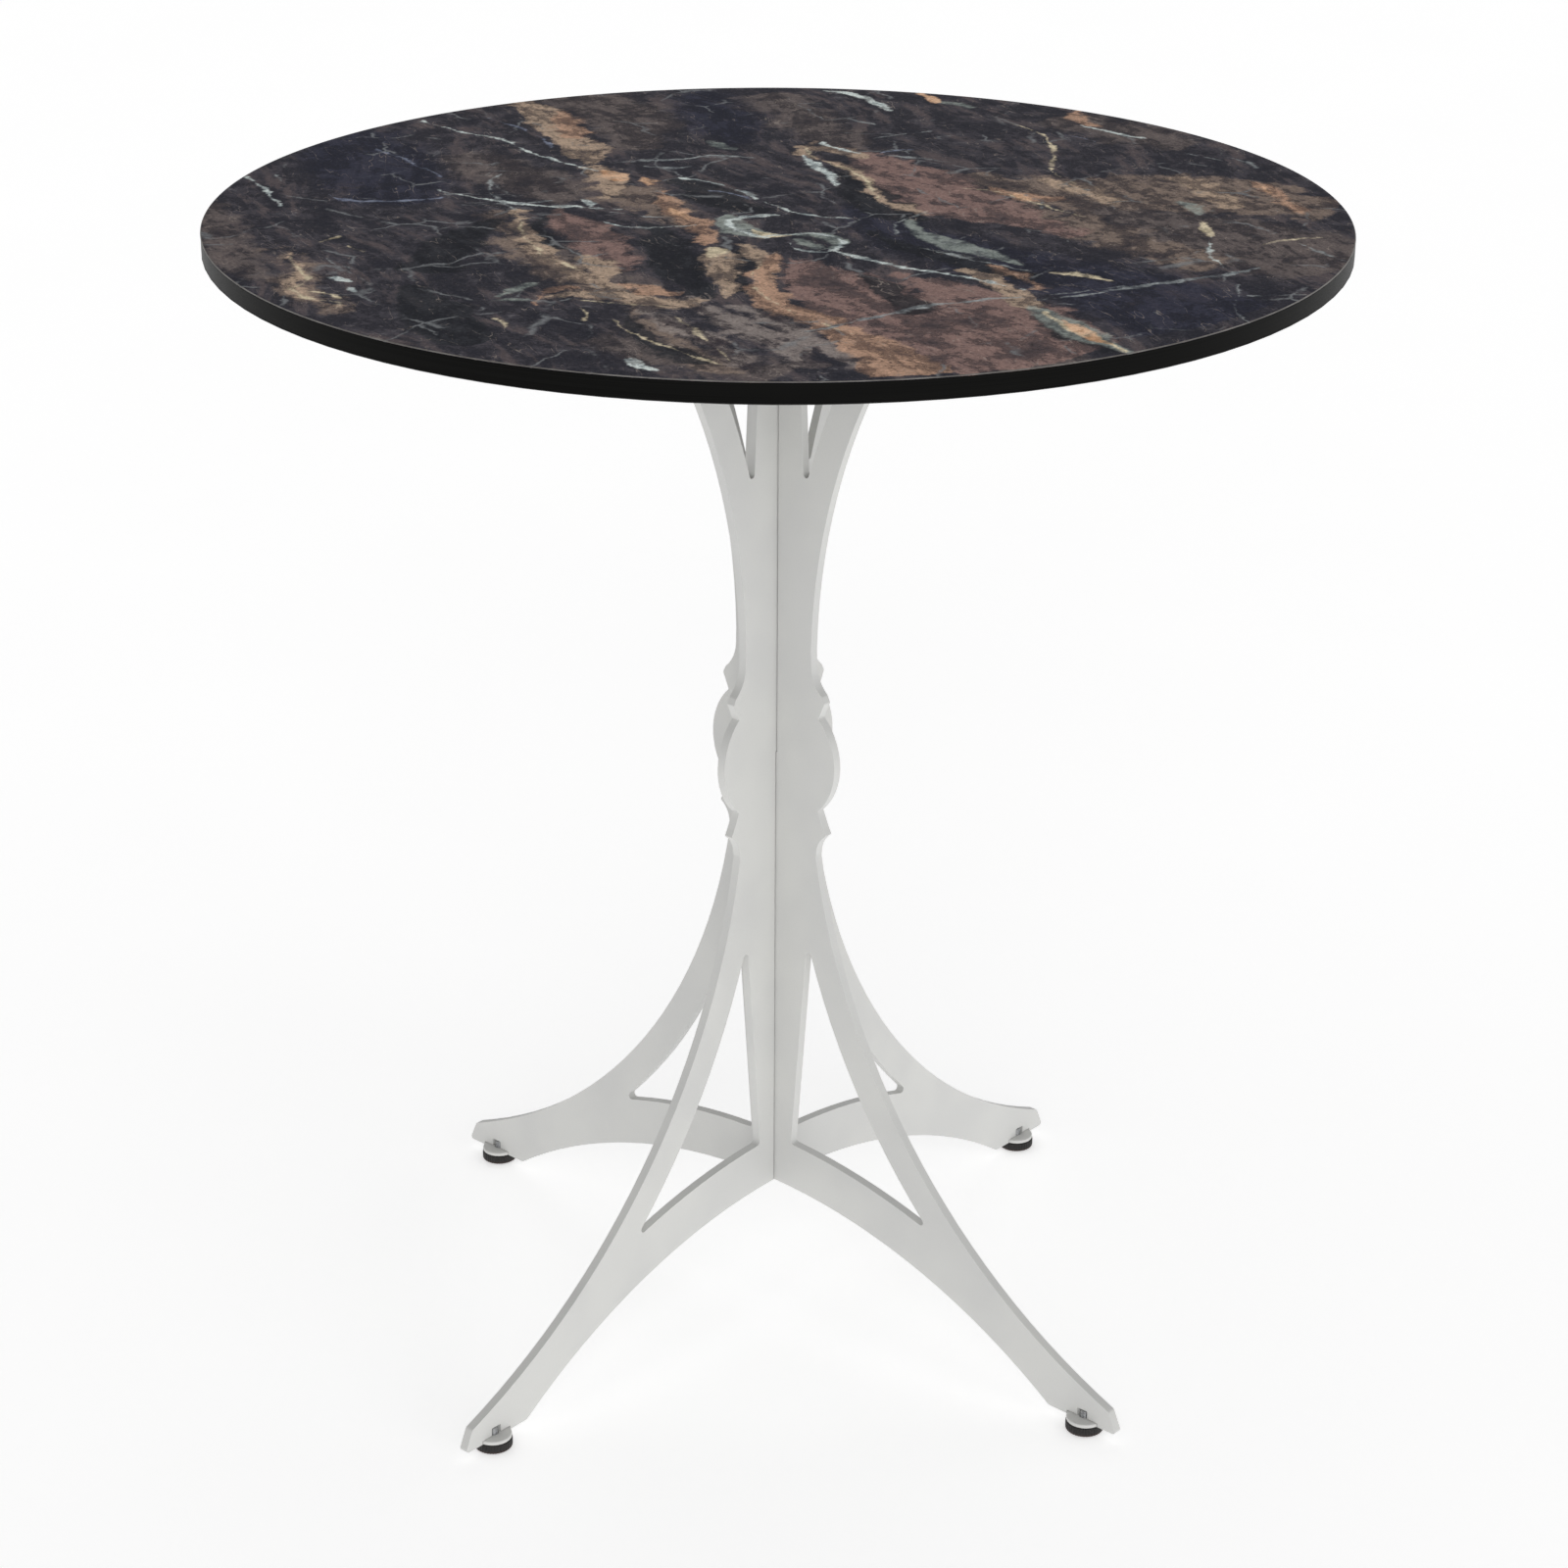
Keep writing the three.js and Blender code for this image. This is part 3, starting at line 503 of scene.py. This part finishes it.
def nearness(name, bands):
    """A node group that tells how far a place is inside the nearest band, in units."""
    tree = bpy.data.node_groups.new("decor_" + name, "ShaderNodeTree")
    tree.interface.new_socket("Place", in_out="INPUT", socket_type="NodeSocketVector")
    tree.interface.new_socket("Inside", in_out="OUTPUT", socket_type="NodeSocketFloat")
    g = Graph(tree)
    at = g.tree.nodes.new("NodeGroupInput").outputs[0]
    deepest = None
    for places in bands:
        first, last = Vector(places[0][:2]), Vector(places[-1][:2])
        ahead = (last - first).normalized()
        side = Vector((-ahead.y, ahead.x))
        along = g.vector("DOT_PRODUCT", at, (*ahead, 0))
        across = g.vector("DOT_PRODUCT", at, (*side, 0))
        spots = [Vector(place[:2]) for place in places]
        stations = [(spot @ ahead, spot @ side) for spot in spots]
        widths = [(station[0], place[2]) for station, place in zip(stations, places)]
        before, after = widths[0][0] - BAND_END, widths[-1][0] + BAND_END
        widths = [(before, BAND_OUTSIDE), *widths, (after, BAND_OUTSIDE)]
        course = g.curve(along, stations)
        width = g.curve(along, widths, "VECTOR")
        offset = g.math("ABSOLUTE", g.math("SUBTRACT", across, course))
        inside = g.math("SUBTRACT", width, offset)
        deepest = inside if deepest is None else g.math("MAXIMUM", deepest, inside)
    g.put(g.tree.nodes.new("NodeGroupOutput").inputs[0], deepest)
    return tree


def marble_decor():
    """Dark marble print: the ground, the layers in their order, then the print's contrast."""
    g = Graph.material("marble_decor")
    plan = g.mapping(
        g.place(),
        location=(MIDDLE, MIDDLE, 0),
        turn=(0, 0, LEG_TURN),
        scale=(UNITS_PER_METRE, -UNITS_PER_METRE, UNITS_PER_METRE),
    )

    def shifted(base, scale, amount, detail):
        """Places shifted a little by noise, so that every edge wanders."""
        drift = g.vector("SUBTRACT", g.noise(base, scale, detail, output="Color"), (0.5,) * 3)
        return g.vector("ADD", base, g.vector("MULTIPLY", drift, (amount, amount, 0)))

    ragged = shifted(plan, 0.3, 3, 5)
    crisp = shifted(shifted(plan, 0.35, 1.3, 2), 1.2, 0.65, 3)
    # Along the flow of the stone, which falls steeply from the left to the right
    bent = shifted(plan, 0.035, 12, 0)
    flow = g.mapping(g.mapping(bent, turn=(0, 0, math.radians(-68))), scale=(0.3, 1, 1))
    edge = g.noise(ragged, 0.27, 8, 0.7)
    streak = g.noise(flow, 0.45, 4, 0.6)
    mottle = g.noise(ragged, 0.42, 8, 0.74)
    crumb = g.noise(ragged, 2.3, 5, 0.75)
    grain = g.noise(plan, 4.5, 3, 0.6)
    tone = g.math("ADD", g.math("MULTIPLY", streak, 0.45), g.math("MULTIPLY", mottle, 0.55))

    # Ground: plum black, with darker and browner streaks
    colour = g.mix(g.remap(tone, 0.38, 0.62), srgb(42, 41, 46), srgb(66, 62, 66))
    colour = g.mix(g.remap(streak, 0.52, 0.66, 0, 0.7), colour, srgb(84, 74, 73))
    colour = g.mix(g.remap(mottle, 0.6, 0.7, 0, 0.6), colour, srgb(100, 97, 98))

    # How far an edge wanders, how much the fine veins thin out in places, and for broad and for
    # fine layers how broken they are and where they turn from their darker to their lighter colour
    wander = g.math("SUBTRACT", edge, 0.5)
    thinning = g.remap(g.noise(plan, 0.7, 3, 0.6), 0.38, 0.62, 0.0, 0.2)
    broad = g.remap(mottle, 0.34, 0.48, 0.5, 1.0), g.remap(tone, 0.41, 0.57)
    fine = g.remap(g.noise(plan, 0.5, 4, 0.65), 0.36, 0.52, 0.4, 1.0), g.remap(mottle, 0.38, 0.56)

    def crumbled(colour):
        """Fine filaments along the flow, crumbs of lighter and darker stone, and cracks."""
        ridge = g.math("ABSOLUTE", g.math("SUBTRACT", g.noise(flow, 0.55, 2, 0.5), 0.5))
        thread = g.remap(ridge, 0.009, 0.0)
        thread = g.math("MULTIPLY", thread, g.remap(mottle, 0.46, 0.6, 0, 0.7))
        colour = g.mix(thread, colour, srgb(128, 116, 108))
        hollow = g.math("ABSOLUTE", g.math("SUBTRACT", tone, 0.48))
        colour = g.mix(g.remap(hollow, 0.012, 0.0, 0, 0.7), colour, srgb(34, 33, 36))
        lighter = g.vector("MULTIPLY_ADD", colour, (1.6, 1.55, 1.5), (0.01, 0.009, 0.008))
        colour = g.mix(g.remap(crumb, 0.55, 0.68, 0, 0.8), colour, lighter)
        colour = g.mix(g.remap(crumb, 0.45, 0.3, 0, 0.75), colour, srgb(36, 35, 38))
        # Sparse cracks, in patches
        cells = g.node("TexVoronoi", feature="DISTANCE_TO_EDGE")
        g.put(cells.inputs["Vector"], ragged)
        g.put(cells.inputs["Scale"], 0.13)
        crack = g.remap(cells.outputs[0], 0.03, 0.0)
        patch = g.remap(g.noise(plan, 0.16, 4, 0.65), 0.51, 0.62, 0, 0.75)
        return g.mix(g.math("MULTIPLY", crack, patch), colour, srgb(112, 112, 112))

    for name, (dark, light, strength, soft, rag, bands) in LAYERS.items():
        if name == "slate":
            # The broad layers are crumbled before the fine ones are laid over them
            colour = crumbled(colour)
        is_fine = rag < FINE_RAG
        broken, shade = fine if is_fine else broad
        made = g.node("Group", node_tree=nearness(name, bands))
        g.put(made.inputs[0], crisp if is_fine else ragged)
        inside = g.math("MULTIPLY_ADD", wander, rag, made.outputs[0])
        if is_fine:
            inside = g.math("SUBTRACT", inside, thinning)
        mask = g.math("MULTIPLY", g.remap(inside, -soft, soft, 0, strength), broken)
        colour = g.mix(mask, colour, g.mix(shade, dark, light))
    colour = g.mix(g.remap(grain, 0.6, 0.85, 0, 0.12), colour, srgb(120, 114, 110))
    colour = g.mix(1.0, colour, g.remap(grain, 0.3, 0.7, 0.82, 1.22), "MULTIPLY")
    # The print's contrast: deep darks with a little blue in them
    colour = g.vector("MULTIPLY_ADD", colour, (1.8, 1.88, 1.96), (-0.0125, -0.012, -0.012))
    colour = g.vector("MAXIMUM", colour, (0.012, 0.0125, 0.0155))

    return g.surface(
        Base_Color=colour,
        Roughness=g.remap(grain, 0.3, 0.7, 0.42, 0.5),
        Specular_IOR_Level=0.01,
        Normal=g.bump(g.noise(g.place(), 1300, 2), 0.00003, 0.4),
    )


# Each material slot's material, and the radius of its rounded edges in mm
FINISHES = {
    "laminate_core": (laminate_core(), 0.25),
    "laminate_backing": (laminate_backing(), 0.1),
    "powder_coat": (powder_coat(), 0.35),
    "zinc_steel": (zinc(), 0.2),
    "brass": (brass(), 0.1),
    "black_nylon": (nylon(), 0.2),
    "rubber": (rubber(), 0.2),
}
MARBLE = marble_decor()
ARRIS = arris()


# ---- Carried-over CAD nodes --------------------------------------------------------------------


def round_edges(piece, radius):
    """Rounds a node's sharp edges by a radius in mm and shades its curved sides smoothly."""
    same_point, same_plane, least_angle = 0.00002, math.radians(0.4), math.radians(32)
    for polygon in piece.data.polygons:
        polygon.use_smooth = True
    for name in ("custom_normal", "sharp_edge", "sharp_face"):
        if name in piece.data.attributes:
            piece.data.attributes.remove(piece.data.attributes[name])
    piece.modifiers.new("join", "WELD").merge_threshold = same_point
    flat = piece.modifiers.new("flat", "DECIMATE")
    flat.decimate_type = "DISSOLVE"
    flat.angle_limit = same_plane
    bevel = piece.modifiers.new("edges", "BEVEL")
    bevel.width = radius * MM
    bevel.segments = 2
    bevel.limit_method = "ANGLE"
    bevel.angle_limit = least_angle
    bevel.use_clamp_overlap = True
    piece.modifiers.new("shading", "WEIGHTED_NORMAL").keep_sharp = False


for entry in frame["record"]["subparts"]:
    slot = entry["material_slot"]
    if slot in FINISHES:
        material, radius = FINISHES[slot]
        node = nodes[entry["node"]]
        node.data.materials.clear()
        node.data.materials.append(material)
        round_edges(node, radius)


# ---- New pieces --------------------------------------------------------------------------------


def make_piece(name, mesh, materials):
    """A smooth-shaded object from a bmesh, which is freed."""
    data = bpy.data.meshes.new(name)
    mesh.to_mesh(data)
    mesh.free()
    for material in materials:
        data.materials.append(material)
    for polygon in data.polygons:
        polygon.use_smooth = True
    piece = bpy.data.objects.new(name, data)
    bpy.context.scene.collection.objects.link(piece)
    return piece


def grid_faces(mesh, rows):
    """Joins closed rings of vertices, each to the next."""
    for lower, upper in zip(rows, rows[1:]):
        count = len(lower)
        for i in range(count):
            j = (i + 1) % count
            mesh.faces.new((lower[i], lower[j], upper[j], upper[i]))


def ring(mesh, centre, height, radii):
    """A ring of vertices at a height in mm. radii holds one radius in mm for each step round."""
    count = len(radii)
    angles = [2 * math.pi * i / count for i in range(count)]
    return [
        mesh.verts.new(
            (
                centre.x + radius * math.cos(angle) * MM,
                centre.y + radius * math.sin(angle) * MM,
                height * MM,
            )
        )
        for radius, angle in zip(radii, angles)
    ]


def decor_sheet():
    """The décor sheet with the chamfer round its upper rim."""
    low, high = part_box("tabletop_decor_sheet")
    radius, bottom, top = high.x / MM, low.z / MM, high.z / MM
    mesh = bmesh.new()
    count = 288
    chamfer = 0.55
    profile = [
        (radius - 40, bottom),
        (radius, bottom),
        (radius, top - chamfer),
        (radius - chamfer, top),
        (radius - 3, top),
        (radius - 120, top),
        (radius - 240, top),
    ]
    chamfer_row = 2
    rows = [ring(mesh, Vector((0, 0)), z, [r] * count) for r, z in profile]
    grid_faces(mesh, rows)
    mesh.faces.new(reversed(rows[0]))
    mesh.faces.new(rows[-1])
    mesh.faces.ensure_lookup_table()
    for face in mesh.faces[chamfer_row * count : (chamfer_row + 1) * count]:
        face.material_index = 1
    for edge in mesh.edges:
        if edge.calc_face_angle(0) > math.radians(30):
            edge.smooth = False
    piece = make_piece("decor_sheet", mesh, [MARBLE, ARRIS])
    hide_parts("tabletop_decor_sheet")
    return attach(piece, "pedestal")


decor_sheet()


def threaded_stud(leg):
    """The levelling stud with its M6 thread cut as a spiral."""
    node = f"foot_stud_{leg}"
    low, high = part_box(node)
    centre = (low + high) / 2
    bottom, top = low.z / MM, high.z / MM
    outer, depth, pitch, count = 3.0, 0.55, 1.0, 40
    flank = 2.6
    tip_length, tip_depth = 0.7, 0.75
    mesh = bmesh.new()
    rows = []
    levels = round((top - bottom) / (pitch / 10))
    for level in range(levels + 1):
        height = bottom + (top - bottom) * level / levels
        tip = outer - tip_depth * (1 - min(1.0, (top - height) / tip_length))
        radii = []
        for i in range(count):
            phase = (height / pitch - i / count) % 1.0
            groove = depth * (1 - min(1.0, flank * abs(phase - 0.5)))
            radii.append(min(outer - groove, tip))
        rows.append(ring(mesh, centre, height, radii))
    grid_faces(mesh, rows)
    mesh.faces.new(reversed(rows[0]))
    mesh.faces.new(rows[-1])
    piece = make_piece(f"stud_{leg}", mesh, [FINISHES["zinc_steel"][0]])
    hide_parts(node)
    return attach(piece, f"foot_{leg}")


def ribbed_knob(leg):
    """The moulded knob: rounded ribs, softened rims, a dished top and a hollow underside."""
    node = f"foot_knob_{leg}"
    low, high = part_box(node)
    centre = (low + high) / 2
    bottom, top = low.z / MM, high.z / MM
    outer = (high.x - low.x) / 2 / MM
    ribs, per_rib, rib_depth, roundness = 40, 6, 0.55, 1.6
    count = ribs * per_rib
    bore, hollow, hollow_top = 3.3, 10.3, 2.4
    dish_rim, dish_floor, dish_depth = 8.0, 7.4, 0.3

    def rim(inset, share):
        """Radii round the outside: an inset, and the ribs with a share of their depth."""
        waves = (0.5 - 0.5 * math.cos(2 * math.pi * i / per_rib) for i in range(count))
        return [outer - inset - rib_depth * share * wave**roundness for wave in waves]

    mesh = bmesh.new()
    rows = [
        ring(mesh, centre, bottom, [hollow] * count),
        ring(mesh, centre, bottom, rim(0.9, 0)),
        ring(mesh, centre, bottom + 0.25, rim(0.3, 0.4)),
        ring(mesh, centre, bottom + 0.8, rim(0, 1)),
        ring(mesh, centre, top - 0.9, rim(0, 1)),
        ring(mesh, centre, top - 0.35, rim(0.2, 0.5)),
        ring(mesh, centre, top, rim(0.8, 0)),
        ring(mesh, centre, top, [dish_rim] * count),
        ring(mesh, centre, top - dish_depth, [dish_floor] * count),
        ring(mesh, centre, top - dish_depth, [bore] * count),
        ring(mesh, centre, hollow_top, [bore] * count),
        ring(mesh, centre, hollow_top, [hollow] * count),
    ]
    grid_faces(mesh, rows + [rows[0]])
    piece = make_piece(f"knob_{leg}", mesh, [FINISHES["black_nylon"][0]])
    piece.data.set_sharp_from_angle(angle=math.radians(50))
    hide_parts(node)
    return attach(piece, f"foot_{leg}")


for leg in LEGS:
    threaded_stud(leg)
    ribbed_knob(leg)


# ---- Floor, light and camera -------------------------------------------------------------------


def floor():
    """A pale disc, 40 m in radius, that glows a little so that it comes out near white."""
    mesh = bmesh.new()
    rows = [ring(mesh, Vector((0, 0)), 0, [r] * 64) for r in (1000, 8000, 40000)]
    grid_faces(mesh, [rows[2], rows[1], rows[0]])
    mesh.faces.new(rows[0])
    g = Graph.material("floor")
    at = g.place()
    colour = g.mix(g.noise(at, 3, 2), srgb(243, 243, 243), srgb(246, 246, 246))
    material = g.surface(
        Base_Color=colour,
        Roughness=0.8,
        Specular_IOR_Level=0.1,
        Emission_Color=(1, 1, 1, 1),
        Emission_Strength=0.49,
    )
    # Clear from below, so that the underside can be looked at
    output = next(node for node in g.tree.nodes if node.type == "OUTPUT_MATERIAL")
    paint = output.inputs["Surface"].links[0].from_socket
    both = g.node("MixShader")
    g.put(both.inputs[0], g.node("NewGeometry").outputs["Backfacing"])
    g.put(both.inputs[1], paint)
    g.put(both.inputs[2], g.node("BsdfTransparent").outputs[0])
    g.put(output.inputs["Surface"], both.outputs[0])
    make_piece("floor", mesh, [material])


floor()

scene = bpy.context.scene
scene.view_settings.view_transform = "Standard"


def studio():
    """A near-white backdrop for the camera, over a dimmer dome that lights the table."""
    world = bpy.data.worlds.new("studio")
    world.use_nodes = True
    g = Graph(world.node_tree)
    g.tree.nodes.clear()
    backdrop, dome = g.node("Background"), g.node("Background")
    for light, strength in ((backdrop, 0.98), (dome, 0.41)):
        light.inputs["Strength"].default_value = strength
        light.inputs["Color"].default_value = (1, 1, 1, 1)
    seen = g.node("MixShader")
    g.put(seen.inputs[0], g.node("LightPath").outputs["Is Camera Ray"])
    g.put(seen.inputs[1], dome.outputs[0])
    g.put(seen.inputs[2], backdrop.outputs[0])
    g.put(g.node("OutputWorld").inputs["Surface"], seen.outputs[0])
    scene.world = world


studio()


def soft_light(name, azimuth, elevation, width, strength):
    """A wide, far light. Azimuth is turned from the camera's side; width is in degrees."""
    light = bpy.data.lights.new(name, "SUN")
    light.angle = math.radians(width)
    light.energy = strength
    lamp = bpy.data.objects.new(name, light)
    angle = CAMERA_SIDE + math.radians(azimuth)
    height = math.radians(elevation)
    towards = Vector(
        (
            math.cos(height) * math.cos(angle),
            math.cos(height) * math.sin(angle),
            math.sin(height),
        )
    )
    # A sun's place has no effect on its light: 3 m away shows where it shines from
    lamp.location = towards * 3
    lamp.rotation_euler = towards.to_track_quat("Z", "Y").to_euler()
    scene.collection.objects.link(lamp)


soft_light("key", 45, 11, 32, 0.5)
soft_light("front", 0, 16, 45, 0.64)
soft_light("left", -50, 8, 32, 0.04)
soft_light("right", 97, 0, 18, 0.15)
soft_light("back_left", -130, 8, 32, 0.1)
soft_light("back_right", 125, 8, 32, 0.18)
soft_light("above_back", 180, 48, 36, 0.18)


def place_camera():
    """The camera fitted to the photo: metres, degrees and millimetres of lens."""
    distance, height, lens = 2.229, 1.328, 85.41
    pitch, pan, roll = (math.radians(turn) for turn in (23.13, -0.139, 0.319))
    data = bpy.data.cameras.new("camera")
    data.sensor_width = 36
    data.lens = lens
    data.clip_end = 100
    camera = bpy.data.objects.new("camera", data)
    scene.collection.objects.link(camera)
    heading = CAMERA_SIDE + math.pi + pan
    ahead = Vector((math.cos(heading), math.sin(heading), 0))
    right = Vector((ahead.y, -ahead.x, 0))
    forward = ahead * math.cos(pitch) - Vector((0, 0, math.sin(pitch)))
    upward = ahead * math.sin(pitch) + Vector((0, 0, math.cos(pitch)))
    rolled_right = right * math.cos(roll) + upward * math.sin(roll)
    rolled_up = upward * math.cos(roll) - right * math.sin(roll)
    stand = (distance * math.cos(CAMERA_SIDE), distance * math.sin(CAMERA_SIDE), height)
    turned = Matrix((rolled_right, rolled_up, -forward)).transposed().to_4x4()
    camera.matrix_world = Matrix.Translation(stand) @ turned
    scene.camera = camera


place_camera()
